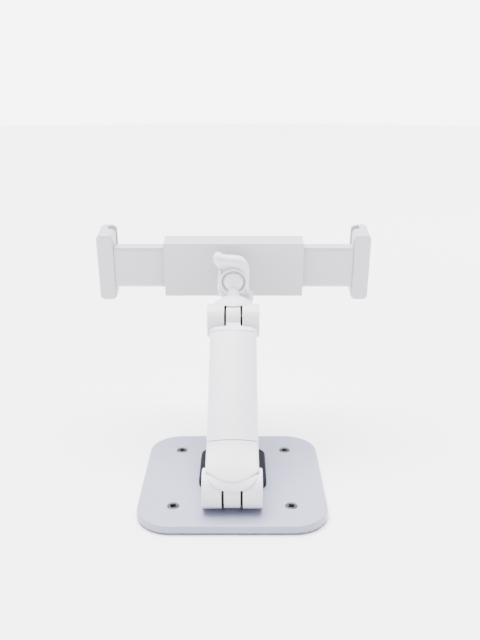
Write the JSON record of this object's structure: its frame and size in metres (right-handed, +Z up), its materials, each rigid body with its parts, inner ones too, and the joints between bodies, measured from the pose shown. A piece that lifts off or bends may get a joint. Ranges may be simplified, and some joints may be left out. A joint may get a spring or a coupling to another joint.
{
  "type": "tablet stand",
  "caption": "Desk stand for a tablet: square weighted base, swivelling foot, tilting arm, ball head locked by a wing nut, and a telescopic clamp with two hooked grips.",
  "frame": {"origin": "centre of the base pad's underside, where the stand rests", "axes": "+Z up; +Y towards the user, whom the tablet's screen faces; -Y the rear, where the arm is hinged; +X to the right seen from the rear"},
  "size_m": [0.234, 0.2082, 0.1768],
  "materials": {
    "base_coat": "satin powder coat, pale lilac grey",
    "arm_coat": "satin white lacquer",
    "white_plastic": "fine satin moulded plastic",
    "clamp_plastic": "fine satin, light grey",
    "dark_plastic": "fine textured dark grey",
    "rubber": "matt",
    "steel": "plain zinc plated"
  },
  "bodies": {
    "base": {"base_plate": "base_coat", "base_pad": "rubber", "base_screw_front_left": "steel", "base_screw_front_right": "steel", "base_screw_rear_left": "steel", "base_screw_rear_right": "steel", "swivel_bolt": "steel", "swivel_nut": "steel"},
    "foot": {"swivel_glide": "rubber", "swivel_foot": "dark_plastic", "base_knuckle": "white_plastic", "foot_screw_left": "steel", "foot_screw_right": "steel", "lower_hinge_bolt": "steel", "lower_hinge_nut": "steel", "lower_hinge_washer_left": "rubber", "lower_hinge_washer_right": "rubber"},
    "arm": {"arm_tube": "arm_coat", "arm_lower_end": "white_plastic", "arm_upper_end": "white_plastic", "arm_screw_lower_left": "steel", "arm_screw_lower_right": "steel", "arm_screw_upper_left": "steel", "arm_screw_upper_right": "steel"},
    "head": {"head_yoke": "white_plastic", "ball_stud": "white_plastic", "upper_hinge_bolt": "steel", "upper_hinge_nut": "steel", "upper_hinge_washer_left": "rubber", "upper_hinge_washer_right": "rubber"},
    "ball_inner": {"ball_liner": "clamp_plastic"},
    "ball_outer": {"ball_cup": "clamp_plastic"},
    "holder": {"socket_housing": "white_plastic", "sleeve": "clamp_plastic", "housing_screw": "steel", "pinion_axle": "steel", "guide_rail_upper": "dark_plastic", "guide_rail_lower": "dark_plastic", "front_pad_upper": "rubber", "front_pad_lower": "rubber"},
    "wing": {"wing_nut": "white_plastic"},
    "pinion": {"pinion": "dark_plastic"},
    "left_arm": {"left_slider": "clamp_plastic", "left_grip": "clamp_plastic", "left_grip_pad": "rubber"},
    "right_arm": {"right_slider": "clamp_plastic", "right_grip": "clamp_plastic", "right_grip_pad": "rubber"}
  },
  "joints": [
    {"name": "base_swivel", "type": "hinge", "parent": "base", "child": "foot", "pos_m": [0, 0, 0], "axis": [0, 0, 1], "continuous": true},
    {"name": "arm_tilt", "type": "hinge", "parent": "foot", "child": "arm", "pos_m": [0, -0.042, 0.0203], "axis": [1, 0, 0], "range_deg": [-15, 60]},
    {"name": "head_tilt", "type": "hinge", "parent": "arm", "child": "head", "pos_m": [0, 0.06371, 0.10901], "axis": [-1, 0, 0], "range_deg": [-60, 60]},
    {"name": "ball_tilt", "type": "hinge", "parent": "head", "child": "ball_inner", "pos_m": [0, 0.08526, 0.13659], "axis": [1, 0, 0], "range_deg": [-3, 60]},
    {"name": "ball_pan", "type": "hinge", "parent": "ball_inner", "child": "ball_outer", "pos_m": [0, 0.08526, 0.13659], "axis": [0, -0.2079, 0.9781], "range_deg": [-12, 12]},
    {"name": "ball_roll", "type": "hinge", "parent": "ball_outer", "child": "holder", "pos_m": [0, 0.08526, 0.13659], "axis": [0, 0.9781, 0.2079], "continuous": true},
    {"name": "wing_turn", "type": "hinge", "parent": "holder", "child": "wing", "pos_m": [0, 0.08526, 0.13659], "axis": [0, 0.9781, 0.2079], "range_deg": [-180, 90]},
    {"name": "left_slide", "type": "slide", "parent": "holder", "child": "left_arm", "axis": [1, 0, 0], "range_m": [-0.003, 0.039]},
    {"name": "right_slide", "type": "slide", "parent": "holder", "child": "right_arm", "axis": [1, 0, 0], "range_m": [-0.039, 0.003]},
    {"name": "pinion_spin", "type": "hinge", "parent": "holder", "child": "pinion", "pos_m": [0, 0.08526, 0.13659], "axis": [0, 0.9781, 0.2079], "range_deg": [-30, 350]}
  ],
  "couplings": [
    {"joint": "right_slide", "follows": "left_slide", "ratio": -1},
    {"joint": "pinion_spin", "follows": "left_slide", "rad_per_m": 153.85}
  ]
}
